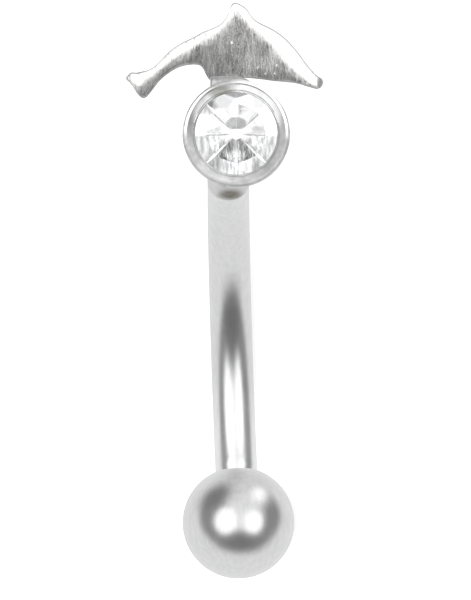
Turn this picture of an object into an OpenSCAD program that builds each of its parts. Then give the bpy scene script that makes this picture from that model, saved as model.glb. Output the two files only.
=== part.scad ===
// Eyebrow barbell: a curved bar with a ball on one end and a bezel-set stone under a small leaping
// dolphin on the other. All sizes are in millimetres.
//
// The pieces are drawn as seen from the front: X to the right, Z up, the front towards -Y, with the
// origin on the stone's axis at the level of its girdle. The whole barbell is then turned as it lies
// on a flat surface.

/* [Bar] */
// Thickness of the bar, 16 gauge
bar_d = 1.2; // [1:0.1:1.3]
// Radius of the bend, at the middle of the bar
bend_r = 6.8; // [6.4:0.1:7.2]
// Slope of the bar's top end, from upright
bend_top = 68; // [64:1:70]
// Slope of the bar's lower end, from upright
bend_low = 15; // [10:1:18]
// Length from the end of the bend to the middle of the ball
low_straight = 1.8; // [1.65:0.05:1.95]
// Sideways lean of the bar away from the middle line, in degrees
bar_lean = 2.1; // [0:0.1:3]
// Turn of the bend about the upright, in degrees
bar_twist = 1.2; // [0:0.1:3]

/* [Ball] */
// Diameter of the ball, 1/8 inch
ball_d = 3.2; // [2.5:0.1:4]

/* [Cup] */
// Outer diameter of the round cup
cup_d = 3.06; // [2.96:0.02:3.2]
// Height of the rim above the girdle of the stone
rim_h = 0.37; // [0.3:0.01:0.4]
// Depth of the cup's back behind the girdle
cup_back = 1.43; // [1.4:0.01:1.5]

/* [Stone] */
// Diameter of the stone at its girdle
stone_d = 2.5; // [2.4:0.02:2.5]
// Width of the table as a share of the stone
table_share = 0.58; // [0.5:0.01:0.65]

/* [Dolphin] */
// Greatest thickness of the dolphin
body_t = 0.85; // [0.6:0.05:1]

/* [Hidden] */
$fn = 96;

// Gap left between two pieces that meet
fit_gap = 0.02;

// The seam between bar and neck, measured from the stone's axis
seam_x = -0.18;
seam_back = 1.9;
seam_drop = 1.29;

// Pin on the bar's top end, which goes into a socket in the neck
pin_d = 0.7;
pin_l = 0.5;
neck_l = 1;

// Straight end that goes into the ball, a little thinner than the bar
screw_d = 1.16;

// How far both ends are rooted in the bend
root_l = 0.1;

// How far a hollow is cut past the face that it opens in
cut_past = 1;

// How deep the bar goes into the ball, past the ball's middle
bar_past_middle = 0.4;

// Path of the bar: each point is [y, z], with z measured from the seam's height
seam = [seam_back, 0];
bend_end = seam - fit_gap * [-sin(bend_top), cos(bend_top)];
bend_mid = bend_end - bend_r * [cos(bend_top), sin(bend_top)];
bend_start = bend_mid + bend_r * [cos(bend_low), -sin(bend_low)];
ball_mid = bend_start - low_straight * [sin(bend_low), cos(bend_low)];

// Cup
cup_r = cup_d / 2;
rim_round = 0.09;
rim_crest_r = cup_r - rim_round;
rim_flat = 0.032;
bright_cut = 39;
step_r = 1.24;
lip_r = 1.165;
lip_h = 0.1;
lip_slope = 33;
back_round = 0.5;
seat_r = stone_d / 2 + fit_gap;
seat_h = 0.03;
well_r = 1.05;
well_back = 1.2;
seat_slope = 40.5;

// Solder between the cup and the dolphin
pad_left = -0.74;
pad_right = 0.45;
pad_low = 1.2;
pad_top = 1.62;
pad_front = -0.1;
pad_back = 0.56;
pad_round = 0.16;

// Stone: slopes of its front and back facets, its collar, and half the angle of one main facet
crown_slope = 18;
main_slope = 48;
collar_slope = -2;
girdle_t = 0.05;
star_reach = 0.55;
main_r = 0.85;
culet_r = 0.17;
half_facet = 22.5;
stone_turn = half_facet;
stone_r = stone_d / 2;
table_r = table_share * stone_r;
flat_r = table_r * cos(half_facet);
star_r = flat_r + star_reach * (stone_r - flat_r);
crown_h = girdle_t / 2 + (stone_r - table_r) * tan(crown_slope);
collar_h = girdle_t / 2 + (stone_r - main_r) * tan(collar_slope);
culet_h = collar_h + (main_r - culet_r) * cos(half_facet) * tan(main_slope);

// Dolphin: back face, slopes of the brow above the ridge and of the flank below it, the length over
// which the flank turns down and its greatest share of the flank, and edge rounds, which take up no
// more than a share of a rib's height
body_back = 0.58;
brow_slope = 12;
flank_slope = 21;
flank_soft = 0.3;
soft_most = 0.6;
thin_share = 0.7;
edge_round = 0.06;
low_round = 0.035;
round_share = 0.3;
brow_steps = 3;
flank_steps = 6;
round_steps = 2;
rib_steps = 2;

// Cross sections of the dolphin from tail to nose, each from its upper to its lower edge
// [x at top, z at top, x at bottom, z at bottom, share of the full thickness, place of the ridge]
ribs = [
    [-3.12, 1.60, -3.12, 1.53, 0.40, 0.60],
    [-2.99, 1.73, -2.98, 1.40, 0.50, 0.62],
    [-2.83, 1.73, -2.82, 1.15, 0.55, 0.51],
    [-2.65, 1.77, -2.69, 1.02, 0.60, 0.26],
    [-2.52, 1.80, -2.55, 1.03, 0.62, 0.14],
    [-2.33, 1.90, -2.36, 1.25, 0.64, 0.14],
    [-2.14, 2.08, -2.20, 1.46, 0.66, 0.20],
    [-1.89, 2.34, -1.97, 1.67, 0.72, 0.27],
    [-1.59, 2.55, -1.66, 1.86, 0.80, 0.27],
    [-1.26, 2.71, -1.30, 1.95, 0.88, 0.20],
    [-0.92, 2.89, -1.00, 1.91, 0.94, 0.12],
    [-0.62, 3.01, -0.83, 1.62, 0.97, 0.08],
    [-0.40, 3.14, -0.69, 1.49, 0.99, 0.06],
    [-0.24, 3.38, -0.45, 1.56, 1.00, 0.09],
    [-0.15, 3.62, -0.22, 1.58, 1.00, 0.13],
    [-0.03, 3.71, 0.01, 1.58, 1.00, 0.09],
    [0.15, 3.64, 0.22, 1.58, 1.00, 0.12],
    [0.31, 3.51, 0.41, 1.57, 1.00, 0.15],
    [0.47, 3.28, 0.60, 1.55, 1.00, 0.12],
    [0.66, 3.14, 0.79, 1.53, 0.99, 0.13],
    [1.06, 2.94, 1.09, 1.49, 0.96, 0.28],
    [1.40, 2.69, 1.43, 1.46, 0.90, 0.46],
    [1.72, 2.34, 1.72, 1.42, 0.82, 0.56],
    [1.98, 1.99, 1.97, 1.35, 0.74, 0.65],
    [2.19, 1.74, 2.17, 1.29, 0.67, 0.75],
    [2.32, 1.62, 2.28, 1.265, 0.62, 0.70],
    [2.39, 1.585, 2.37, 1.29, 0.57, 0.62],
    [2.44, 1.53, 2.43, 1.35, 0.52, 0.55],
    [2.465, 1.46, 2.462, 1.43, 0.49, 0.50]
];

// Lie of the barbell at rest, on its ball, its bend and the dolphin's nose: how far it is rolled
// onto its side, how far its face then looks up, and the shift that sets it on the surface
lie_roll = 101.95;
face_up = 32.0;
rest_shift = [4.416, -3.059, 2.609];

// Catmull-Rom value between rows a and b, where t runs from 0 to 1
function blend_row(before, a, b, after, t) =
    a + 0.5 * t * ((b - before) + t * ((2 * before - 5 * a + 4 * b - after)
    + t * (3 * a - before - 3 * b + after)));

// Row number u of a table, where u may fall between two rows
function row_at(rows, u) =
    let (last = len(rows) - 1, i = min(floor(u), last - 1))
    blend_row(rows[max(i - 1, 0)], rows[i], rows[i + 1], rows[min(i + 2, last)], u - i);

// Front of one rib from its upper to its lower edge, as pairs of share of the rib's height and depth
// behind the ridge: it rises gently to the ridge, then slopes back ever more down the flank
function rib_front(rib) =
    let (
        deepest = thin_share * body_t * rib[4],
        ridge = rib[5],
        height = norm([rib[2] - rib[0], rib[3] - rib[1]]),
        corner = min(edge_round, round_share * height),
        low_corner = min(low_round, round_share * height),
        first = corner / height,
        last = 1 - low_corner / height,
        brow_drop = min((ridge - first) * height * tan(brow_slope) / 2, deepest),
        flank_l = (last - ridge) * height,
        soft = min(flank_soft / flank_l, soft_most),
        flank_drop = min(flank_l * (1 - soft / 2) * tan(flank_slope), deepest)
    )
    [
        for (i = [0:round_steps - 1])
            let (a = 90 * i / round_steps)
            [first * (1 - cos(a)), brow_drop + corner * (1 - sin(a))],
        for (i = [0:brow_steps - 1])
            let (t = 1 - i / brow_steps)
            [ridge + (first - ridge) * t, brow_drop * t * t],
        for (i = [0:flank_steps])
            let (
                u = i / flank_steps,
                fall = u < soft ? u * u / (2 * soft) : u - soft / 2
            )
            [ridge + (last - ridge) * u, flank_drop * fall / (1 - soft / 2)],
        for (i = [1:round_steps])
            let (a = 90 * i / round_steps)
            [last + (1 - last) * sin(a), flank_drop + low_corner * (1 - cos(a))]
    ];

// Closed outline of one rib: flat back, then over the front from top to bottom
function rib_points(rib) =
    let (front = body_back - body_t * rib[4])
    [
        [rib[2], body_back, rib[3]],
        [rib[0], body_back, rib[1]],
        for (place = rib_front(rib))
            [
                rib[0] + (rib[2] - rib[0]) * place[0],
                front + place[1],
                rib[1] + (rib[3] - rib[1]) * place[0]
            ]
    ];

// Ring of n points of a given radius and height, the first one turned by start degrees
function ring(n, r, h, start = 0) = [
    for (i = [0:n - 1])
        let (a = start + 360 * i / n)
        [r * cos(a), r * sin(a), h]
];

// Height above the girdle's middle where two main facets of a given slope meet, at radius r
function main_h(r, slope) = girdle_t / 2 + (stone_r - r * cos(half_facet)) * tan(slope);

module skin(sections) {
    n = len(sections[0]);
    last = len(sections) - 1;
    points = [for (section = sections) each section];
    sides = [
        for (i = [0:last - 1], j = [0:n - 1])
            let (a = i * n + j, b = i * n + (j + 1) % n)
            each [[a, b + n, b], [a, a + n, b + n]]
    ];
    first_cap = [[for (j = [0:n - 1]) j]];
    last_cap = [[for (j = [n - 1:-1:0]) last * n + j]];
    polyhedron(points, concat(first_cap, sides, last_cap), convexity = 6);
}

module dolphin() {
    steps = rib_steps * (len(ribs) - 1);
    skin([for (i = [0:steps]) rib_points(row_at(ribs, i / rib_steps))]);
}

// Pad of solder on the cup's top, which carries the dolphin
module solder_pad() {
    translate([pad_left, 0, 0])
        rotate([90, 0, 90])
            linear_extrude(pad_right - pad_left) {
                translate([pad_front, pad_low])
                    square([pad_back - pad_front, pad_top - pad_round - pad_low]);
                translate([pad_front + pad_round, pad_top - pad_round])
                    square([pad_back - pad_front - pad_round, pad_round]);
                translate([pad_front + pad_round, pad_top - pad_round]) circle(pad_round);
            }
}

// Turns a shape drawn round Z so that it stands on the stone's axis, with +Z towards the back
module on_stone_axis() rotate([-90, 0, 0]) children();

// Moves a shape into the plane of the bend: there [y, z] is measured from the seam's height
module in_bend_plane() {
    translate([seam_x, 0, -seam_drop])
        rotate([0, -bar_lean, bar_twist])
            children();
}

// Places a shape drawn round Z at a point of the bend plane, with its +Z sloping by a given angle
module along_bar(point, slope) {
    in_bend_plane()
        translate([0, point[0], point[1]])
            rotate([slope, 0, 0])
                children();
}

// Puts the whole barbell down on the surface
module at_rest() {
    translate(rest_shift)
        rotate([-face_up, 0, 0])
            rotate([0, lie_roll, 0])
                children();
}

module cup_body() {
    wall_front = rim_round - rim_h;
    wall_back = cup_back - back_round;
    on_stone_axis() rotate_extrude() {
        translate([0, wall_front]) square([cup_r, wall_back - wall_front]);
        translate([0, -rim_h]) square([rim_crest_r, rim_h]);
        translate([rim_crest_r, wall_front]) circle(rim_round);
        translate([cup_r - back_round, wall_back]) circle(back_round);
        square([cup_r - back_round, cup_back]);
    }
}

module cup_hollow() {
    cut_r = rim_crest_r - rim_flat;
    on_stone_axis() rotate_extrude() polygon([
        [0, -rim_h - cut_past],
        [cup_r, -rim_h - cut_past],
        [cut_r, -rim_h],
        [step_r, -rim_h + (cut_r - step_r) * tan(bright_cut)],
        [step_r, -lip_h - (step_r - lip_r) * tan(lip_slope)],
        [lip_r, -lip_h],
        [seat_r, -lip_h + fit_gap],
        [seat_r, seat_h],
        [well_r, seat_h + (seat_r - well_r) * tan(seat_slope)],
        [well_r, well_back],
        [0, well_back]
    ]);
}

module bar() color("#d8d8dc") at_rest() {
    in_bend_plane()
        translate([0, bend_mid[0], bend_mid[1]])
            rotate([90, 0, 90])
                rotate([0, 0, -bend_low])
                    rotate_extrude(angle = bend_low + bend_top)
                        translate([bend_r, 0])
                            circle(d = bar_d);
    along_bar(bend_end, bend_top)
        translate([0, 0, -root_l])
            cylinder(d = pin_d, h = root_l + fit_gap + pin_l);
    along_bar(bend_start, 180 - bend_low)
        translate([0, 0, -root_l])
            cylinder(d = screw_d, h = root_l + low_straight + bar_past_middle);
}

module ball() color("#d8d8dc") at_rest() {
    along_bar(ball_mid, 180 - bend_low) difference() {
        sphere(d = ball_d);
        translate([0, 0, -ball_d])
            cylinder(d = bar_d + fit_gap, h = ball_d + bar_past_middle + fit_gap);
    }
}

module charm() color("#c4c4c4") at_rest() {
    difference() {
        union() {
            dolphin();
            solder_pad();
            cup_body();
            along_bar(seam, bend_top) cylinder(d = bar_d, h = neck_l);
        }
        cup_hollow();
        along_bar(seam, bend_top)
            translate([0, 0, -cut_past])
                cylinder(d = pin_d + 2 * fit_gap, h = cut_past + pin_l + fit_gap);
    }
}

module stone() color("#f2f6fa") at_rest() {
    points = [
        each ring(8, culet_r, culet_h, half_facet),
        each ring(8, main_r, collar_h, half_facet),
        each ring(16, stone_r, girdle_t / 2),
        each ring(16, stone_r, -girdle_t / 2),
        each ring(8, star_r, -main_h(star_r, crown_slope), half_facet),
        each ring(8, table_r, -crown_h)
    ];
    culet = 0;
    corner = 8;
    back = 16;
    front = 32;
    star = 48;
    table = 56;
    faces = [
        for (i = [0:7])
            let (j = (i + 1) % 8, before = (i + 7) % 8, g = 2 * i, half = 2 * i + 1, next = 2 * j)
            each [
                [culet + before, culet + i, corner + i, corner + before],
                [corner + before, corner + i, back + g],
                [corner + i, back + half, back + g],
                [corner + i, back + next, back + half],
                [back + g, back + half, front + half, front + g],
                [back + half, back + next, front + next, front + half],
                [star + i, front + g, front + half],
                [star + i, front + half, front + next],
                [table + i, star + before, front + g, star + i],
                [table + i, star + i, table + j]
            ],
        [for (i = [7:-1:0]) culet + i],
        [for (i = [0:7]) table + i]
    ];
    on_stone_axis() rotate([0, 0, stone_turn]) polyhedron(points, faces, convexity = 2);
}

bar();
ball();
charm();
stone();
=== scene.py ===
"""Looks of the eyebrow barbell: a curved steel bar with a ball, and a clear stone under a silver dolphin.

The pieces are drawn upright, as they are seen from the front, in millimetres: X to the right, Z up and
the front towards -Y, with the origin on the stone's axis at its girdle. LAID_DOWN then carries them to
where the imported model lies, in metres.
"""

import math
from functools import reduce

import bpy
import numpy as np
from mathutils import Matrix, Vector


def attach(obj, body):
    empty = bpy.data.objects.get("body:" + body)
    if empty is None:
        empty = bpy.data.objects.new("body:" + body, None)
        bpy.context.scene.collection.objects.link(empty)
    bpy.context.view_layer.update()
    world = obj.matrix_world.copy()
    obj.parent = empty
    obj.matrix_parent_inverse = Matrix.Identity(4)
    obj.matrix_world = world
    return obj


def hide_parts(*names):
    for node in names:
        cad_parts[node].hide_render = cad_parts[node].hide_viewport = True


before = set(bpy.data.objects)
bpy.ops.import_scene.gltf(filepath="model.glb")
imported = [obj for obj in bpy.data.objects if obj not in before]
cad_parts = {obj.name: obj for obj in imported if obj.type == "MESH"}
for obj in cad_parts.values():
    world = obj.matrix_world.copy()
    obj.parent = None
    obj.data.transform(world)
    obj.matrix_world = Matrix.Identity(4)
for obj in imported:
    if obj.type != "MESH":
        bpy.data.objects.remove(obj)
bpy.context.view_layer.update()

# Sizes in millimetres and angles in degrees
MM = 0.001
FIT_GAP = 0.02

# Bar: slopes are from upright. Upwards, it leans forward at the top of the bend and back at its low end.
BAR_D = 1.2
BEND_R = 6.8
BEND_TOP = 68
BEND_LOW = 15
LOW_STRAIGHT = 1.8
BAR_LEAN = 2.1
BAR_TWIST = 1.2
SEAM = Vector((-0.18, 1.9, -1.29))
NECK_L = 1.0
PIN_D = 0.7
PIN_L = 0.5
SCREW_D = 1.16
SCREW_TAPER = 0.1
BAR_PAST_MIDDLE = 0.4

BALL_D = 3.2
MOUTH_ROUND = 0.05

CUP_R = 1.53
CUP_BACK = 1.43
BACK_ROUND = 0.5
RIM_H = 0.37
RIM_ROUND = 0.09
BRIGHT_CUT = 39
SEAT_H = 0.03
SEAT_SLOPE = 40.5
LIP_R = 1.165
LIP_H = 0.1
LIP_SLOPE = 33
STEP_R = 1.24
STEP_ROUND = 0.02
WELL_R = 1.05
WELL_BACK = 1.2

STONE_R = 1.25
TABLE_R = 0.58 * STONE_R
CROWN_SLOPE = 18
GIRDLE_T = 0.05
STAR_REACH = 0.55
STONE_TURN = 22.5
# Half the angle between two of the 8 main facets, and how far their middle lies from the axis for a
# corner at 1
MAIN_HALF = 360 / 16
MAIN_FLAT = math.cos(math.radians(MAIN_HALF))
# Back of the stone: a shallow collar outside the corners of the 8 main facets
MAIN_R = 0.85
MAIN_SLOPE = 48
COLLAR_SLOPE = -2
CULET_R = 0.17
EDGE_CUT = 0.045
CULET_CUT = EDGE_CUT / 3

BODY_T = 0.85
BODY_BACK = 0.58
FLANK_SLOPE = 21
BROW_SLOPE = 12
FLANK_SOFT = 0.3
SOFT_MOST = 0.6
THIN_SHARE = 0.7
EDGE_ROUND = 0.06
LOW_ROUND = 0.035
ROUND_SHARE = 0.3

# Solder between the cup and the dolphin: a pad with a rounded front. Each end is rounded over a length
# along the pad and drops back by a depth.
PAD_LEFT = -0.74
PAD_RIGHT = 0.5
PAD_LOW = 1.2
PAD_TOP = 1.62
PAD_FRONT = -0.1
PAD_ROUND = 0.16
PAD_LEFT_END = (0.08, 0.08)
PAD_RIGHT_END = (0.6, 0.3)

# Cross sections of the dolphin from tail to nose, each from its upper to its lower edge:
# x at top, z at top, x at bottom, z at bottom, share of the full thickness, place of the ridge from 0 to 1
RIBS = (
    (-3.12, 1.60, -3.12, 1.53, 0.40, 0.60),
    (-2.99, 1.73, -2.98, 1.40, 0.50, 0.62),
    (-2.83, 1.73, -2.82, 1.15, 0.55, 0.51),
    (-2.65, 1.77, -2.69, 1.02, 0.60, 0.26),
    (-2.52, 1.80, -2.55, 1.03, 0.62, 0.14),
    (-2.33, 1.90, -2.36, 1.25, 0.64, 0.14),
    (-2.14, 2.08, -2.20, 1.46, 0.66, 0.20),
    (-1.89, 2.34, -1.97, 1.67, 0.72, 0.27),
    (-1.59, 2.55, -1.66, 1.86, 0.80, 0.27),
    (-1.26, 2.71, -1.30, 1.95, 0.88, 0.20),
    (-0.92, 2.89, -1.00, 1.91, 0.94, 0.12),
    (-0.62, 3.01, -0.83, 1.62, 0.97, 0.08),
    (-0.40, 3.14, -0.69, 1.49, 0.99, 0.06),
    (-0.24, 3.38, -0.45, 1.56, 1.00, 0.09),
    (-0.15, 3.62, -0.22, 1.58, 1.00, 0.13),
    (-0.03, 3.71, 0.01, 1.58, 1.00, 0.09),
    (0.15, 3.64, 0.22, 1.58, 1.00, 0.12),
    (0.31, 3.51, 0.41, 1.57, 1.00, 0.15),
    (0.47, 3.28, 0.60, 1.55, 1.00, 0.12),
    (0.66, 3.14, 0.79, 1.53, 0.99, 0.13),
    (1.06, 2.94, 1.09, 1.49, 0.96, 0.28),
    (1.40, 2.69, 1.43, 1.46, 0.90, 0.46),
    (1.72, 2.34, 1.72, 1.42, 0.82, 0.56),
    (1.98, 1.99, 1.97, 1.35, 0.74, 0.65),
    (2.19, 1.74, 2.17, 1.29, 0.67, 0.75),
    (2.32, 1.62, 2.28, 1.265, 0.62, 0.70),
    (2.39, 1.585, 2.37, 1.29, 0.57, 0.62),
    (2.44, 1.53, 2.43, 1.35, 0.52, 0.55),
    (2.465, 1.46, 2.462, 1.43, 0.49, 0.50),
)

# Lie at rest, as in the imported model
LIE_ROLL = 101.95
FACE_UP = 32.0
REST_SHIFT = Vector((4.416, -3.059, 2.609))


def turn(axis, degrees):
    return Matrix.Rotation(math.radians(degrees), 4, axis)


LAID_DOWN = (
    Matrix.Scale(MM, 4) @ Matrix.Translation(REST_SHIFT) @ turn("X", -FACE_UP) @ turn("Y", LIE_ROLL)
)
BEND_PLANE = Matrix.Translation((SEAM.x, 0, SEAM.z)) @ turn("Z", BAR_TWIST) @ turn("Y", -BAR_LEAN)

# The three directions of the front view, in the row frame
TO_VIEWER = (LAID_DOWN.to_3x3() @ Vector((0, -1, 0))).normalized()
VIEW_RIGHT = (LAID_DOWN.to_3x3() @ Vector((1, 0, 0))).normalized()
VIEW_UP = (LAID_DOWN.to_3x3() @ Vector((0, 0, 1))).normalized()


# Mesh making


def new_piece(
    name, points, faces, materials, face_material=None, flat=False, sharp_angle=35, marks=None
):
    """A mesh piece from upright points in mm, laid down in the row frame. It keeps the upright places
    in the attribute "drawn", which the materials read, as they do the other marks, a number per point."""
    mesh = bpy.data.meshes.new(name)
    mesh.from_pydata([LAID_DOWN @ Vector(p) for p in points], [], faces)
    drawn = mesh.attributes.new("drawn", "FLOAT_VECTOR", "POINT")
    drawn.data.foreach_set("vector", np.array(points, np.float32).ravel())
    for label, values in (marks or {}).items():
        mesh.attributes.new(label, "FLOAT", "POINT").data.foreach_set("value", values)
    for material in materials:
        mesh.materials.append(material)
    if face_material:
        mesh.polygons.foreach_set("material_index", face_material)
    mesh.polygons.foreach_set("use_smooth", [not flat] * len(mesh.polygons))
    if not flat:
        mesh.set_sharp_from_angle(angle=math.radians(sharp_angle))
    mesh.validate()
    mesh.update()
    piece = bpy.data.objects.new(name, mesh)
    bpy.context.scene.collection.objects.link(piece)
    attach(piece, "root")
    return piece


def skin(sections):
    """Faces of a closed skin over rings of equal length, with a cap on each end."""
    n = len(sections[0])
    points = [p for section in sections for p in section]
    last = (len(sections) - 1) * n
    faces = [list(range(n))]
    for start in range(0, last, n):
        for j in range(n):
            a = start + j
            b = start + (j + 1) % n
            faces.append([a, a + n, b + n, b])
    faces.append([last + j for j in reversed(range(n))])
    return points, faces


def rise(slope):
    """Rise of a slope in degrees, for each unit of its length."""
    return math.tan(math.radians(slope))


def arc(centre, radius, start, end, steps):
    """Points (r, h) on a circle's arc, angles in degrees."""
    angles = np.radians(np.linspace(start, end, steps))
    return [(centre[0] + radius * math.cos(a), centre[1] + radius * math.sin(a)) for a in angles]


def lathe(profile, place, steps):
    """A closed shape turned round Z from a profile of (r, h) points, whose ends lie on the axis."""
    points = [place @ Vector((0, 0, profile[0][1]))]
    for r, h in profile[1:-1]:
        for k in range(steps):
            a = 2 * math.pi * k / steps
            points.append(place @ Vector((r * math.cos(a), r * math.sin(a), h)))
    points.append(place @ Vector((0, 0, profile[-1][1])))
    rings = len(profile) - 2
    faces = []
    for k in range(steps):
        after = (k + 1) % steps
        faces.append([0, 1 + after, 1 + k])
        for i in range(rings - 1):
            a = 1 + i * steps
            faces.append([a + k, a + after, a + steps + after, a + steps + k])
        a = 1 + (rings - 1) * steps
        faces.append([a + k, a + after, len(points) - 1])
    return points, faces


# Path of the bar in the plane of the bend, as (y, z) from the seam's height


def out_from(angle):
    """Unit vector in the plane of the bend, that many degrees up from straight back."""
    return Vector((math.cos(math.radians(angle)), math.sin(math.radians(angle))))


def bend_point(slope):
    """Place on the bend where the bar slopes by that many degrees from upright."""
    top = Vector((SEAM.y, 0)) - FIT_GAP * out_from(BEND_TOP + 90)
    return top - BEND_R * out_from(BEND_TOP) + BEND_R * out_from(slope)


def along_bar(point, slope):
    """The frame of the bar at a point of its path, with Z along the bar."""
    return BEND_PLANE @ Matrix.Translation((0, point.x, point.y)) @ turn("X", slope)


def lifted(place, distance):
    """That frame moved along its own Z."""
    return place @ Matrix.Translation((0, 0, distance))


def make_bar(material):
    """The bend with its pin, which goes into the neck, and its plain end, which goes into the ball. The
    mark "along" is the bar's direction, for the grain of the steel."""
    chamfer = 0.01
    bend_steps = 120
    around = 72
    top = along_bar(bend_point(BEND_TOP), BEND_TOP)
    low = along_bar(bend_point(-BEND_LOW), -BEND_LOW)
    to_ball = LOW_STRAIGHT - BALL_D / 2
    to_end = LOW_STRAIGHT + BAR_PAST_MIDDLE
    stations = [
        (lifted(top, PIN_L), PIN_D / 2 - chamfer),
        (lifted(top, PIN_L - chamfer), PIN_D / 2),
        (top, PIN_D / 2),
        (top, BAR_D / 2 - chamfer),
    ]
    for slope in np.linspace(BEND_TOP, -BEND_LOW, bend_steps):
        place = along_bar(bend_point(slope), slope)
        if slope == BEND_TOP:
            place = lifted(place, -chamfer)
        stations.append((place, BAR_D / 2))
    stations += [
        (lifted(low, -to_ball), BAR_D / 2),
        (lifted(low, -to_ball - SCREW_TAPER), SCREW_D / 2),
        (lifted(low, -to_end + chamfer), SCREW_D / 2),
        (lifted(low, -to_end), SCREW_D / 2 - chamfer),
    ]
    turns = [2 * math.pi * k / around for k in range(around)]
    sections = []
    along = []
    for place, r in stations:
        sections.append([place @ Vector((r * math.cos(a), r * math.sin(a), 0)) for a in turns])
        along += [LAID_DOWN.to_3x3().normalized() @ place.to_3x3() @ Vector((0, 0, 1))] * around
    points, faces = skin(sections)
    piece = new_piece("steel_bar", points, faces, [material])
    marked = piece.data.attributes.new("along", "FLOAT_VECTOR", "POINT")
    marked.data.foreach_set("vector", np.array(along, np.float32).ravel())
    return piece


def make_ball(material):
    """The ball with its blind bore, whose mouth is rounded. The rounding ends at one angle, and the
    ball's outside starts a little below it, in degrees."""
    round_end = 110
    below_mouth = 1.5
    r = BALL_D / 2
    bore_r = (BAR_D + FIT_GAP) / 2
    mouth_r = bore_r + MOUTH_ROUND
    mouth_angle = math.degrees(math.acos(mouth_r / r))
    mouth_h = r * math.sin(math.radians(mouth_angle))
    floor_h = -BAR_PAST_MIDDLE - FIT_GAP
    profile = [(0, floor_h), (bore_r, floor_h), (bore_r, mouth_h - MOUTH_ROUND)]
    profile += arc((mouth_r, mouth_h - MOUTH_ROUND), MOUTH_ROUND, 180, round_end, steps=5)
    profile += arc((0, 0), r, mouth_angle - below_mouth, -90, steps=90)
    profile[-1] = (0, -r)
    middle = bend_point(-BEND_LOW) - LOW_STRAIGHT * out_from(90 - BEND_LOW)
    points, faces = lathe(profile, along_bar(middle, -BEND_LOW), steps=128)
    return new_piece("steel_ball", points, faces, [material])


def blend_row(before, a, b, after, t):
    """Value between rows a and b, on a smooth cubic that runs through all the rows."""
    return a + 0.5 * t * (
        (b - before) + t * ((2 * before - 5 * a + 4 * b - after) + t * (3 * a - before - 3 * b + after))
    )


def rib_at(rows, u):
    """Rib at a place between the rows, where u counts rows."""
    last = len(rows) - 1
    i = min(int(u), last - 1)
    return blend_row(rows[max(i - 1, 0)], rows[i], rows[i + 1], rows[min(i + 2, last)], u - i)


def rib_height(rib):
    return math.hypot(rib[2] - rib[0], rib[3] - rib[1])


def rib_front(rib):
    """Outline of a rib's front, from its upper to its lower edge, as pairs of share of the height and
    depth behind the ridge: it rises over a rounded brow to the ridge, then slopes back ever more down
    the flank."""
    brow_steps, flank_steps, round_steps = 8, 12, 6
    share, ridge = rib[4:6]
    deepest = THIN_SHARE * BODY_T * share
    height = rib_height(rib)
    corner = min(EDGE_ROUND, ROUND_SHARE * height)
    low_corner = min(LOW_ROUND, ROUND_SHARE * height)
    first, last = corner / height, 1 - low_corner / height
    brow_drop = min((ridge - first) * height * rise(BROW_SLOPE) / 2, deepest)
    flank_l = (last - ridge) * height
    soft = min(FLANK_SOFT / flank_l, SOFT_MOST)
    flank_drop = min(flank_l * (1 - soft / 2) * rise(FLANK_SLOPE), deepest)
    points = []
    for i in range(round_steps):
        a = math.pi / 2 * i / round_steps
        points.append((first * (1 - math.cos(a)), brow_drop + corner * (1 - math.sin(a))))
    for i in range(brow_steps):
        t = 1 - i / brow_steps
        points.append((ridge + (first - ridge) * t, brow_drop * t * t))
    for i in range(flank_steps + 1):
        u = i / flank_steps
        fall = u * u / (2 * soft) if u < soft else u - soft / 2
        points.append((ridge + (last - ridge) * u, flank_drop * fall / (1 - soft / 2)))
    for i in range(1, round_steps + 1):
        a = math.pi / 2 * i / round_steps
        points.append((last + (1 - last) * math.sin(a), flank_drop + low_corner * (1 - math.cos(a))))
    return points


def make_dolphin(material):
    """The body is skinned over the ribs, flat behind and domed in front. Two marks are kept for its
    material: how far each point lies above the ridge, and how far inside the outline, in mm."""
    between = 5
    rows = np.array(RIBS)
    sections, above, inside = [], [], []
    for k in range(between * (len(RIBS) - 1) + 1):
        rib = rib_at(rows, k / between)
        x_top, z_top, x_low, z_low, share, ridge = rib
        height = rib_height(rib)
        front = rib_front(rib)
        from_end = min(x_top - RIBS[0][0], RIBS[-1][0] - x_top)
        section = [(x_low, BODY_BACK, z_low), (x_top, BODY_BACK, z_top)]
        for side, back in front:
            x = x_top + (x_low - x_top) * side
            z = z_top + (z_low - z_top) * side
            section.append((x, BODY_BACK - BODY_T * share + back, z))
        sections.append(section)
        above += [0, 0] + [(ridge - side) * height for side, back in front]
        inside += [0, 0] + [min(side * height, (1 - side) * height, from_end) for side, back in front]
    points, faces = skin(sections)
    marks = {"above_ridge": above, "inside_outline": inside}
    return new_piece("dolphin", points, faces, [material], sharp_angle=50, marks=marks)


def make_solder_pad(material):
    """The pad of solder that joins the dolphin to the top of the cup, rounded in front and at its ends."""
    steps = 8
    sections = []
    for i in range(2 * steps + 2):
        left = i <= steps
        end_l, end_depth = PAD_LEFT_END if left else PAD_RIGHT_END
        a = math.pi / 2 * (i if left else 2 * steps + 1 - i) / steps
        from_end = end_l * (1 - math.cos(a))
        x = PAD_LEFT + from_end if left else PAD_RIGHT - from_end
        inset = end_depth * (1 - math.sin(a))
        r = PAD_ROUND - inset / 2
        section = [(x, BODY_BACK - inset, PAD_LOW), (x, BODY_BACK - inset, PAD_TOP - inset)]
        for y, z in arc((PAD_FRONT + inset + r, PAD_TOP - inset - r), r, 90, 180, steps=10):
            section.append((x, y, z))
        section.append((x, PAD_FRONT + inset, PAD_LOW))
        sections.append(section)
    points, faces = skin(sections)
    return new_piece("solder_pad", points, faces, [material], sharp_angle=50)


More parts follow.
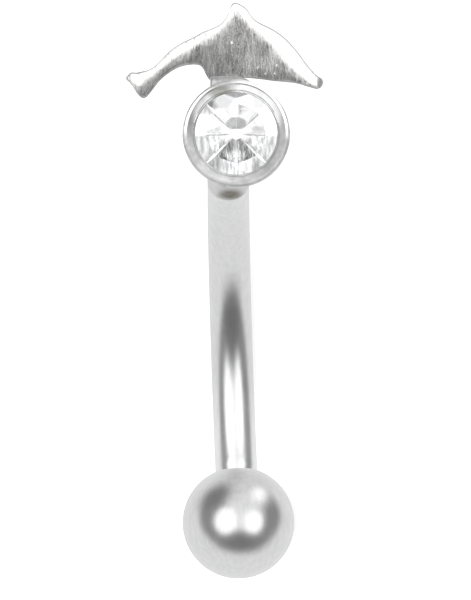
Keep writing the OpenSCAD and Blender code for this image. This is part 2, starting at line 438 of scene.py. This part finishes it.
def make_cup(material):
    """The round cup: rounded rim, bright-cut slope inside it, a ledge over the girdle and a hollow back."""
    cut_end = 270 - BRIGHT_CUT
    seat_r = STONE_R + FIT_GAP
    well_edge_h = SEAT_H + (seat_r - WELL_R) * rise(SEAT_SLOPE)
    rim_middle = (CUP_R - RIM_ROUND, RIM_ROUND - RIM_H)
    cut_top = Vector(rim_middle) + RIM_ROUND * out_from(cut_end)
    step_top = cut_top.y + (cut_top.x - STEP_R) * rise(BRIGHT_CUT)
    step_low = -LIP_H - (STEP_R - LIP_R) * rise(LIP_SLOPE)
    top_round = Vector((STEP_R, step_top)) + STEP_ROUND * out_from(90 - BRIGHT_CUT)
    profile = [(0, WELL_BACK), (WELL_R, WELL_BACK), (WELL_R, well_edge_h), (seat_r, SEAT_H)]
    profile += [(seat_r, -LIP_H + FIT_GAP), (LIP_R, -LIP_H), (STEP_R - STEP_ROUND, step_low)]
    profile += arc(top_round, STEP_ROUND, 180, cut_end, steps=6)
    profile += arc(rim_middle, RIM_ROUND, cut_end, 360, steps=24)
    profile += arc((CUP_R - BACK_ROUND, CUP_BACK - BACK_ROUND), BACK_ROUND, 0, 90, steps=14)
    profile.append((0, CUP_BACK))
    points, faces = lathe(profile, turn("X", -90), steps=160)
    return new_piece("cup", points, faces, [material], sharp_angle=30)


def make_neck(material):
    """The stub behind the cup that the bar is fixed to. It flares where it meets the cup, and a film of
    solder runs over its seam with the bar."""
    film = 0.003
    film_l = 0.1
    flare = 0.045
    flare_l = 0.5
    flare_start = 0.1
    flare_steps = 12
    r = BAR_D / 2
    socket_r = PIN_D / 2 + FIT_GAP
    profile = [(0, PIN_L + FIT_GAP), (socket_r, PIN_L + FIT_GAP), (socket_r, 0), (r + film, 0)]
    profile += [(r + film, -film_l), (r + 2 * film, -film_l), (r + 2 * film, 0), (r, film_l)]
    for t in np.linspace(flare_start, 1, flare_steps):
        profile.append((r + flare * t * t, NECK_L - flare_l * (1 - t)))
    profile.append((0, NECK_L))
    place = along_bar(Vector((SEAM.y, 0)), BEND_TOP)
    points, faces = lathe(profile, place, steps=96)
    return new_piece("neck", points, faces, [material])


def ring(n, r, h, start=0.0):
    """Points round the stone's axis, at a height h behind the girdle."""
    angles = [math.radians(start + STONE_TURN + 360 * i / n) for i in range(n)]
    return [(r * math.cos(a), h, -r * math.sin(a)) for a in angles]


def main_h(r, slope):
    """Height above the girdle's middle where two main facets of that slope meet, at radius r."""
    return GIRDLE_T / 2 + (STONE_R - r * MAIN_FLAT) * rise(slope)


def cut_corners(r, h, width):
    """The 8 corners of the back facets at radius r, each cut into two points by a narrow edge facet."""
    corners = [Vector(p) for p in ring(8, r, h, MAIN_HALF)]
    points = []
    for i, here in enumerate(corners):
        for other in (corners[i - 1], corners[(i + 1) % 8]):
            points.append(tuple(here + (other - here).normalized() * width))
    return points


# The stone's materials, by their number on it
GLASS, MAIN_FOIL, EDGE_FOIL, COLLAR_FOIL = range(4)


def make_stone(materials):
    """Round stone: table, 8 star, 8 main and 16 upper facets, girdle, then behind it a collar of 32
    facets, 8 main ones with narrow bright facets along their edges, and a flat culet."""
    flat_r = TABLE_R * MAIN_FLAT
    star_r = flat_r + STAR_REACH * (STONE_R - flat_r)
    crown_h = GIRDLE_T / 2 + (STONE_R - TABLE_R) * rise(CROWN_SLOPE)
    collar_h = GIRDLE_T / 2 + (STONE_R - MAIN_R) * rise(COLLAR_SLOPE)
    culet_h = collar_h + (MAIN_R - CULET_R) * MAIN_FLAT * rise(MAIN_SLOPE)
    points = cut_corners(CULET_R, culet_h, CULET_CUT)
    points += cut_corners(MAIN_R, collar_h, EDGE_CUT)
    points += ring(16, STONE_R, GIRDLE_T / 2)
    points += ring(16, STONE_R, -GIRDLE_T / 2)
    points += ring(8, star_r, -main_h(star_r, CROWN_SLOPE), MAIN_HALF)
    points += ring(8, TABLE_R, -crown_h)
    # Number of the first point of each of those rings
    culet, corner, back, front, star, table = 0, 16, 32, 48, 64, 72
    faces, kinds = [], []
    for i in range(8):
        j, before = (i + 1) % 8, (i + 7) % 8
        g, half, after = 2 * i, 2 * i + 1, 2 * j
        last = 2 * before + 1
        faces += [
            [culet + g, corner + g, corner + last, culet + last],
            [corner + g, back + g, corner + last],
            [corner + g, back + half, back + g],
            [corner + half, back + half, corner + g],
            [corner + half, back + after, back + half],
            [culet + half, corner + half, corner + g, culet + g],
            [back + g, back + half, front + half, front + g],
            [back + half, back + after, front + after, front + half],
            [star + i, front + g, front + half],
            [star + i, front + half, front + after],
            [table + i, star + before, front + g, star + i],
            [table + i, star + i, table + j],
        ]
        kinds += [MAIN_FOIL, COLLAR_FOIL, COLLAR_FOIL, EDGE_FOIL, COLLAR_FOIL, EDGE_FOIL] + [GLASS] * 6
    faces.append([culet + i for i in reversed(range(16))])
    faces.append([table + i for i in range(8)])
    kinds += [EDGE_FOIL, GLASS]
    faces = [face[::-1] for face in faces]
    return new_piece("stone_cut", points, faces, materials, kinds, flat=True)


# Materials

WHITE = (1, 1, 1, 1)
RIGHT, BACK, UP = (1, 0, 0), (0, 1, 0), (0, 0, 1)
# What is left of a polished metal's tone at grazing angles
GRAZING_TINT = (0.95, 0.95, 0.95, 1)

# Shares of red, green and blue that multiply a grey tone
STEEL_TINT = (1.0, 1.0, 1.005)
SILVER_TINT = (1.0, 0.995, 0.985)
# Colour of the solder stain on the neck and of the brownish darker patch on the cup
STAIN_TONE = (0.11, 0.10, 0.08)
BROWN_PATCH_TONE = (0.405, 0.405, 0.375)

# Tones of the foils behind the stone: on the main facets, on the narrow edges and the culet, raised there
# as a painted highlight, on the collar, and on the darker part of the collar, mostly painted shade over its
# lower half, in its middle and at its sides
MAIN_TONE = 0.86
EDGE_TONE = 0.98
COLLAR_TONE = 0.95
COLLAR_DARKER_TONES = (0.8, 0.416)

# Patches in the front view: x and z of the middle and the half sizes in mm, and the share of the half
# sizes that is covered in full before the patch fades out
# Painted shade on the nose tip
NOSE_SHADE = (2.43, 1.44, 0.17, 0.3, 0.6)
FIN_TIP = (0.03, 3.36, 0.13, 0.36, 0.2)
CUP_SOLDER = (-0.45, 1.45, 0.7, 0.3, 0.3)
BROWN_PATCH = (-0.42, 1.16, 0.55, 0.26, 0.3)
NECK_STAIN = (-0.156, -1.73, 0.5, 0.2, 0.25)
# Painted shade on the neck under the cup, round the stain
SHADE_UNDER_CUP = (-0.156, -1.61, 0.62, 0.4, 0.0)
DARKER_FOIL_PATCH = (0.0, 0.29, 0.36, 0.22, 0.6)
DARKER_COLLAR_PATCH = (-0.82, 0.72, 0.36, 0.3, 0.5)
# Bright specks on the dolphin: small dents, each with a painted glint
GLINT_SPECKS = (
    (-0.13, 2.59, 0.05, 0.05, 0.0),
    (1.16, 1.93, 0.04, 0.04, 0.0),
    (1.09, 1.71, 0.04, 0.04, 0.0),
    (0.83, 1.70, 0.04, 0.04, 0.0),
    (0.61, 1.87, 0.04, 0.04, 0.0),
)


class Graph:
    """Short calls for making nodes in one node tree. A value may be a number or another node's output."""

    def __init__(self, tree):
        self.tree = tree
        tree.nodes.clear()

    def feed(self, socket, value):
        if isinstance(value, bpy.types.NodeSocket):
            self.tree.links.new(value, socket)
        else:
            socket.default_value = value

    def node(self, kind, inputs=None, **settings):
        made = self.tree.nodes.new(kind)
        for key, value in settings.items():
            setattr(made, key, value)
        for key, value in (inputs or {}).items():
            self.feed(made.inputs[key], value)
        return made

    def math(self, operation, *values):
        made = self.node("ShaderNodeMath", operation=operation)
        for socket, value in zip(made.inputs, values):
            self.feed(socket, value)
        return made.outputs[0]

    def plus(self, *values):
        return reduce(lambda a, b: self.math("ADD", a, b), values)

    def times(self, *values):
        return reduce(lambda a, b: self.math("MULTIPLY", a, b), values)

    def vector(self, operation, *values, result="Vector"):
        made = self.node("ShaderNodeVectorMath", operation=operation)
        for socket, value in zip(made.inputs, values):
            self.feed(socket, value)
        return made.outputs[result]

    def ramp(self, value, span, ends=(0.0, 1.0)):
        """A soft step: while the value crosses the span, the result goes from one end to the other."""
        made = self.node("ShaderNodeMapRange", interpolation_type="SMOOTHSTEP")
        for socket, v in zip(made.inputs, (value, *span, *ends)):
            self.feed(socket, v)
        return made.outputs[0]

    def mix(self, factor, a, b):
        """a where the factor is 0 and b where it is 1."""
        made = self.node("ShaderNodeMix", data_type="FLOAT")
        for socket, v in zip((made.inputs[0], made.inputs[2], made.inputs[3]), (factor, a, b)):
            self.feed(socket, v)
        return made.outputs[0]

    def noise(self, place, scale=1.0, detail=2.0, roughness=0.5):
        inputs = {"Vector": place, "Scale": scale, "Detail": detail, "Roughness": roughness}
        return self.node("ShaderNodeTexNoise", inputs).outputs["Fac"]

    def colour(self, shares):
        made = self.node("ShaderNodeCombineColor")
        for socket, share in zip(made.inputs, shares):
            self.feed(socket, share)
        return made.outputs[0]

    def bump(self, height, depth, strength=1.0, over=None):
        """A normal raised by a height from 0 to 1, up to a depth in metres, on top of another normal."""
        made = self.node("ShaderNodeBump", {"Height": height, "Distance": depth, "Strength": strength})
        if over is not None:
            self.feed(made.inputs["Normal"], over)
        return made.outputs[0]


def new_material(name):
    material = bpy.data.materials.new(name)
    material.use_nodes = True
    return material, Graph(material.node_tree)


def finish_material(g, shader):
    g.node("ShaderNodeOutputMaterial", {"Surface": shader.outputs[0]})


def metal(g, colour, roughness, inputs=None):
    """A metal shader, with its other inputs by name."""
    basic = {"Metallic": 1.0, "Base Color": colour, "Roughness": roughness}
    return g.node("ShaderNodeBsdfPrincipled", {**basic, **(inputs or {})})


def mark(g, name, output="Fac"):
    """A mark of the piece's points."""
    return g.node("ShaderNodeAttribute", attribute_name=name).outputs[output]


def drawn_place(g, stretch=(1, 1, 1)):
    """The upright place in mm, stretched for grain that runs one way."""
    return g.vector("MULTIPLY", mark(g, "drawn", "Vector"), stretch)


def distance(g, direction):
    """Distance in mm from the stone's axis at its girdle: to the right, to the back or up."""
    return g.vector("DOT_PRODUCT", drawn_place(g), direction, result="Value")


def near(g, patch):
    """1 over the core of a patch in the front view, and 0 outside the patch."""
    x, z, half_w, half_h, core = patch
    place = drawn_place(g, (1 / half_w, 0, 1 / half_h))
    away = g.vector("DISTANCE", place, (x / half_w, 0, z / half_h), result="Value")
    return g.ramp(away, (core, 1), (1, 0))


def grey(g, tone, tint=(1.0, 1.0, 1.0)):
    return g.colour([g.times(tone, share) for share in tint])


def stained(g, tone, stain, colour):
    """A grey tone that turns to the colour where the stain is 1."""
    return g.colour([g.mix(stain, tone, share) for share in colour])


def polished(g, smooth, hazy, inputs, factor=1.0):
    """Polished steel with a little haze. Its roughness runs from smooth to hazy, and a factor goes over
    its tone."""
    haze = g.noise(drawn_place(g), scale=1.3, detail=3.0)
    mottle = g.noise(drawn_place(g, (8.0, 8.0, 2.0)), detail=4.0, roughness=0.7)
    tone = g.times(g.ramp(mottle, (0.3, 0.7), (0.545, 0.59)), factor)
    roughness = g.ramp(haze, (0.3, 0.75), (smooth, hazy))
    return metal(g, grey(g, tone, STEEL_TINT), roughness, {"Specular Tint": GRAZING_TINT, **inputs})


def bar_steel():
    """Polished steel with a grain round the bar, which spreads the highlights. Its tone is raised towards
    the ball as a painted highlight."""
    material, g = new_material("bar_steel")
    grain = {"Anisotropic": 0.54, "Anisotropic Rotation": 0.25, "Tangent": mark(g, "along", "Vector")}
    # Painted highlight: a paler tone towards the ball
    painted_highlight_factor = g.ramp(distance(g, UP), (-8.8, -6.6), (1.18, 1.0))
    finish_material(g, polished(g, 0.22, 0.26, grain, painted_highlight_factor))
    return material


def ball_steel():
    """Polished steel with faint wiping marks."""
    material, g = new_material("ball_steel")
    wiped = g.noise(drawn_place(g, (9, 9, 1.2)), scale=3.0, detail=4.0, roughness=0.6)
    marks = {"Normal": g.bump(wiped, depth=0.00002, strength=0.03)}
    finish_material(g, polished(g, 0.22, 0.27, marks))
    return material


def brushed(g):
    """Upright brush marks, from 0 to 1: long soft ones and short fine ones."""
    long_marks = g.noise(drawn_place(g, (16, 3, 2.6)), detail=3.0, roughness=0.6)
    short_marks = g.noise(drawn_place(g, (34, 8, 8.0)), detail=3.0, roughness=0.65)
    return g.times(g.plus(long_marks, short_marks), 0.5)


def satin_silver():
    """The dolphin: brushed below the ridge, with a nearly white painted highlight above it, painted shade
    on its rougher sides, outline and nose, and a few specks: small dents with painted glints.
    """
    material, g = new_material("satin_silver")
    brush = brushed(g)
    patches = g.noise(drawn_place(g, (2.2, 1, 1.3)), detail=3.0, roughness=0.6)
    right = distance(g, RIGHT)
    inside = mark(g, "inside_outline")
    # Height above the ridge, held lower at the fin tip, where the painted highlight band stops short
    above = g.math("MULTIPLY_ADD", near(g, FIN_TIP), -0.25, mark(g, "above_ridge"))
    # Small dents, painted white as glints
    glint_specks = g.plus(*[near(g, speck) for speck in GLINT_SPECKS])

    # Brushed part: strokes in soft patches, darker towards the outline as painted shade
    brushed_tone = g.times(
        g.ramp(brush, (0.35, 0.65), (0.45, 1.1)),
        g.ramp(patches, (0.35, 0.65), (0.74, 1.1)),
        g.ramp(inside, (0.0, 0.35), (0.70, 1.0)),
        g.ramp(right, (0.2, 0.9), (1.15, 1.0)),
    )
    # Painted highlight band above the ridge: nearly white, with a few darker strokes near the outline on
    # the left
    strokes = g.times(
        g.ramp(brush, (0.5, 0.62)),
        g.ramp(inside, (0.06, 0.26), (1, 0)),
        g.ramp(right, (-0.6, -0.3), (1, 0)),
    )
    highlight_band_tone = g.math("MULTIPLY_ADD", strokes, -0.42, 0.96)
    # The strokes feather the line between the two, which lies lower on the tail
    feather = g.math("SUBTRACT", brush, 0.5)
    tail = g.ramp(right, (-1.5, -0.7), (0.1, 0.0))
    painted_highlight_band = g.ramp(g.plus(above, tail, feather), (-0.32, 0.0))
    # Painted shade on the sides, along the outline and on the nose, with a painted highlight along the
    # upper edge of the tail and the fin's left side
    edge_shade = g.math("MAXIMUM", g.ramp(inside, (0.018, 0.068), (1, 0)), near(g, NOSE_SHADE))
    edge_highlight = g.times(
        g.ramp(above, (-0.1, 0.0)),
        g.ramp(right, (-0.6, -0.1), (1, 0)),
        g.ramp(right, (-2.9, -2.4)),
        g.ramp(distance(g, BACK), (0.35, 0.5), (1, 0)),
    )
    edge_shade_tone = g.math("MULTIPLY_ADD", edge_highlight, 0.26, g.ramp(patches, (0.3, 0.7), (0.36, 0.48)))
    tone = g.mix(glint_specks, g.mix(painted_highlight_band, brushed_tone, highlight_band_tone), 1.0)
    tone = g.mix(edge_shade, tone, edge_shade_tone)

    upper = g.times(g.ramp(above, (-0.50, -0.12)), g.ramp(right, (-2.3, -0.9), (0.35, 1.0)))
    brushed_roughness = g.ramp(brush, (0.3, 0.7), (0.30, 0.20))
    upper_roughness = g.ramp(brush, (0.38, 0.62), (0.25, 0.6))
    roughness = g.mix(edge_shade, g.mix(upper, brushed_roughness, upper_roughness), 0.5)
    raised = g.bump(brush, depth=0.000032, strength=0.75)
    raised = g.bump(glint_specks, depth=0.00003, over=raised)
    inputs = {"Specular Tint": GRAZING_TINT, "Normal": raised}
    finish_material(g, metal(g, grey(g, tone, SILVER_TINT), roughness, inputs))
    return material


def cup_silver():
    """Burnished silver of the cup, dulled by solder at its top and darker and rougher over its lower half,
    where the darker tone is painted shade, with a brownish darker patch at its upper left."""
    material, g = new_material("cup_silver")
    haze = g.noise(drawn_place(g), scale=4.0, detail=3.0)
    # The lower half is darker and rougher; its darker tone is painted shade
    low = g.ramp(g.math("MULTIPLY_ADD", haze, 0.5, distance(g, UP)), (-0.1, 0.7), (1, 0))
    darkened = g.math("MAXIMUM", low, near(g, CUP_SOLDER))
    # The bright-cut slope inside the rim stays brighter
    behind = g.ramp(distance(g, BACK), (0.0, 0.3))
    from_axis = g.vector("LENGTH", drawn_place(g, (1, 0, 1)), result="Value")
    cut = g.mix(behind, g.ramp(from_axis, (1.36, 1.43), (1.4, 1.0)), 1.0)
    darkened_tone = g.times(g.ramp(haze, (0.3, 0.7), (0.48, 0.62)), cut)
    tone = g.mix(darkened, g.ramp(haze, (0.3, 0.7), (0.78, 0.9)), darkened_tone)
    roughness = g.mix(darkened, g.ramp(haze, (0.3, 0.7), (0.1, 0.18)), 0.62)
    finish_material(g, metal(g, stained(g, tone, near(g, BROWN_PATCH), BROWN_PATCH_TONE), roughness))
    return material


def solder():
    """Dull light grey solder."""
    material, g = new_material("solder")
    haze = g.noise(drawn_place(g), scale=6.0, detail=3.0)
    finish_material(g, metal(g, grey(g, g.ramp(haze, (0.3, 0.7), (0.34, 0.47))), 0.4))
    return material


def neck_silver():
    """Dull silver with a brown solder stain at the seam, in a darker patch of painted shade under the cup.
    """
    material, g = new_material("neck_silver")
    haze = g.noise(drawn_place(g), scale=5.0, detail=3.0)
    stain = g.times(near(g, NECK_STAIN), g.ramp(haze, (0.2, 0.6), (0.75, 1.0)))
    # Painted shade on the neck under the cup, round the stain
    shade_under_cup = g.ramp(near(g, SHADE_UNDER_CUP), (0, 1), (1.0, 0.72))
    tone = g.times(g.ramp(haze, (0.3, 0.7), (0.43, 0.54)), shade_under_cup)
    roughness = g.ramp(haze, (0.3, 0.7), (0.3, 0.42))
    finish_material(g, metal(g, stained(g, tone, stain, STAIN_TONE), roughness))
    return material


def clear_glass():
    material, g = new_material("clear_stone")
    inputs = {"Base Color": (0.985, 0.99, 1.0, 1), "Roughness": 0.0, "IOR": 1.56}
    finish_material(g, g.node("ShaderNodeBsdfPrincipled", {**inputs, "Transmission Weight": 1.0}))
    return material


def foil(name, tone_of, roughness, wrinkled=False):
    """Foil on the stone's back facets, whose tone the function tone_of works out. It is bright inside and
    matt outside, darker in a patch above the middle and, if wrinkled, a little uneven in the lower half."""
    outside_roughness = 0.7
    material, g = new_material(name)
    darker_patch = g.ramp(near(g, DARKER_FOIL_PATCH), (0, 1), (1.0, 0.45))
    seen_inside = g.node("ShaderNodeNewGeometry").outputs["Backfacing"]
    inputs = {}
    if wrinkled:
        wrinkles = g.noise(drawn_place(g, (7, 1, 2.0)))
        wrinkles = g.times(wrinkles, g.ramp(distance(g, UP), (-0.3, -0.05), (1, 0)))
        inputs["Normal"] = g.bump(wrinkles, depth=0.000018)
    colour = grey(g, g.times(tone_of(g), darker_patch))
    finish_material(g, metal(g, colour, g.mix(seen_inside, outside_roughness, roughness), inputs))
    return material


def main_tone(g):
    """Tone of the main facets' foil, with upright streaks at both sides of the lower half, where it is
    darkened as painted shade.
    """
    streaks = g.noise(drawn_place(g, (11, 1, 3.0)), detail=4.0, roughness=0.6)
    sideways = g.math("ABSOLUTE", distance(g, RIGHT))
    # Painted shade: the lower sides are darkened in streaks
    low = g.times(g.ramp(distance(g, UP), (-0.12, -0.02), (1, 0)), g.ramp(sideways, (0.15, 0.35)))
    return g.times(MAIN_TONE, g.mix(low, 1.0, g.ramp(streaks, (0.38, 0.62), (0.42, 1.0))))


def edge_tone(g):
    """Tone of the foil on the narrow edges and the culet, raised above the main facets' tone as a painted
    highlight.
    """
    return EDGE_TONE


def collar_tone(g):
    """Tone of the collar's foil: streaked and darker in one patch and in the lower half, most at its sides;
    the darker lower half is painted shade."""
    streaks = g.noise(drawn_place(g, (9, 1, 2.5)), detail=3.0)
    sideways = g.math("ABSOLUTE", distance(g, RIGHT))
    # Painted shade: the lower half is darker
    low = g.ramp(distance(g, UP), (-0.1, 0.0), (1, 0))
    darkened = g.math("MAXIMUM", low, near(g, DARKER_COLLAR_PATCH))
    darkened_tone = g.times(
        g.ramp(sideways, (0.2, 0.6), COLLAR_DARKER_TONES), g.ramp(streaks, (0.35, 0.65), (0.7, 1.3))
    )
    return g.mix(darkened, COLLAR_TONE, darkened_tone)


def floor_white():
    """Plain white floor that glows a little, like a light table."""
    material, g = new_material("floor_white")
    inputs = {"Base Color": (0.9, 0.9, 0.9, 1), "Roughness": 0.9, "Specular IOR Level": 0.1}
    glow = {"Emission Color": WHITE, "Emission Strength": 0.5}
    finish_material(g, g.node("ShaderNodeBsdfPrincipled", {**inputs, **glow}))
    return material


# Studio: soft panels round the viewer, given where a mirror ball would show them in the front view.
# Each has x and y of its middle and its half widths in ball radii, the power of its outline (2 is an
# ellipse), its softness, its turn in degrees and its light. The room is darker at the ball's very rim.
ROOM_LIGHT = 1.19
RIM_START = 0.955
RIM_SHADE = 0.85
PANELS = (
    (0.03, 0.11, 0.72, 0.61, 2.0, 0.10, 0, 0.37),
    (0.16, 0.66, 0.44, 0.28, 2.0, 0.45, -20, 1.05),
    (0.10, 0.32, 0.34, 0.26, 2.0, 0.40, 0, 1.22),
    (0.03, 0.08, 0.38, 0.22, 2.6, 0.35, 0, 1.28),
    (0.06, -0.36, 0.36, 0.16, 2.0, 0.60, 0, 0.24),
    (-0.42, 0.47, 0.28, 0.15, 2.0, 0.80, 40, 0.28),
    (-0.225, 0.035, 0.20, 0.235, 2.0, 0.25, -10, 2.0),
    (0.265, 0.02, 0.165, 0.21, 2.2, 0.25, 0, 2.0),
    (0.365, 0.50, 0.12, 0.12, 2.0, 0.60, 0, 1.95),
    (-0.06, 0.84, 0.13, 0.12, 2.0, 0.80, 0, 0.85),
)


def make_studio_light():
    """Light of the room and its panels by direction. The camera sees the room alone, as plain white."""
    world = bpy.data.worlds.new("studio")
    bpy.context.scene.world = world
    world.use_nodes = True
    g = Graph(world.node_tree)
    direction = g.node("ShaderNodeTexCoord").outputs["Generated"]
    facing = g.vector("NORMALIZE", g.vector("ADD", direction, TO_VIEWER))
    x = g.vector("DOT_PRODUCT", facing, VIEW_RIGHT, result="Value")
    y = g.vector("DOT_PRODUCT", facing, VIEW_UP, result="Value")
    from_middle = g.math("SQRT", g.plus(g.times(x, x), g.times(y, y)))
    light = g.ramp(from_middle, (RIM_START, 1.0), (ROOM_LIGHT, ROOM_LIGHT * RIM_SHADE))
    for cx, cy, rx, ry, power, soft, turned, value in PANELS:
        cos, sin = out_from(turned)
        dx = g.math("SUBTRACT", x, cx)
        dy = g.math("SUBTRACT", y, cy)
        u = g.math("DIVIDE", g.math("MULTIPLY_ADD", dx, cos, g.times(dy, sin)), rx)
        v = g.math("DIVIDE", g.math("MULTIPLY_ADD", dy, cos, g.times(dx, -sin)), ry)
        u, v = [g.math("POWER", g.math("ABSOLUTE", side), power) for side in (u, v)]
        away = g.math("POWER", g.plus(u, v), 1 / power)
        light = g.mix(g.ramp(away, (1 - soft, 1 + soft), (1, 0)), light, value)
    seen = g.node("ShaderNodeLightPath").outputs["Is Camera Ray"]
    light = g.mix(seen, light, ROOM_LIGHT)
    background = g.node("ShaderNodeBackground", {"Color": WHITE, "Strength": light})
    g.node("ShaderNodeOutputWorld", {"Surface": background.outputs[0]})


def make_floor():
    half = 1.5
    level = -0.00001
    mesh = bpy.data.meshes.new("floor")
    corners = [(-half, -half, level), (half, -half, level), (half, half, level), (-half, half, level)]
    mesh.from_pydata(corners, [], [(0, 1, 2, 3)])
    mesh.materials.append(floor_white())
    floor = bpy.data.objects.new("floor", mesh)
    bpy.context.scene.collection.objects.link(floor)
    floor.visible_glossy = False
    floor.visible_transmission = False
    floor.visible_shadow = False


# Camera: straight at the stone's face, as in the photo, with the picture's whole height on the sensor.
# The picture is 600 pixels high, and a pixel and the distance are in mm.
PICTURE_H = 600
PIXEL = 0.02835
AXIS_PIXEL = (236.2, 133.5)
PICTURE_MIDDLE = (235.5, 300)
CAMERA_AWAY = 570


def make_camera():
    data = bpy.data.cameras.new("camera")
    data.sensor_width = 36
    data.lens = data.sensor_width * CAMERA_AWAY / (PICTURE_H * PIXEL)
    data.clip_start = 0.01
    data.clip_end = 10
    across = (PICTURE_MIDDLE[0] - AXIS_PIXEL[0]) * PIXEL
    down = (AXIS_PIXEL[1] - PICTURE_MIDDLE[1]) * PIXEL
    camera = bpy.data.objects.new("camera", data)
    bpy.context.scene.collection.objects.link(camera)
    camera.location = LAID_DOWN @ Vector((across, -CAMERA_AWAY, down))
    camera.rotation_mode = "QUATERNION"
    camera.rotation_quaternion = Matrix((VIEW_RIGHT, VIEW_UP, TO_VIEWER)).transposed().to_quaternion()
    bpy.context.scene.camera = camera


make_camera()
make_studio_light()
make_floor()
bar = make_bar(bar_steel())
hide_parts("bar")
ball = make_ball(ball_steel())
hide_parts("ball")
dolphin = make_dolphin(satin_silver())
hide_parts("charm")
cup = make_cup(cup_silver())
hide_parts("charm")
pad = make_solder_pad(solder())
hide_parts("charm")
neck = make_neck(neck_silver())
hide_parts("charm")
main_foil = foil("stone_foil", main_tone, 0.14, wrinkled=True)
edge_foil = foil("stone_foil_bright", edge_tone, 0.2)
collar_foil = foil("stone_foil_collar", collar_tone, 0.12)
stone = make_stone([clear_glass(), main_foil, edge_foil, collar_foil])
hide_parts("stone")

# The metal shows the studio alone, not the other pieces
for piece in (bar, ball, dolphin, cup, pad, neck):
    piece.visible_glossy = False

bpy.context.scene.view_settings.view_transform = "Standard"
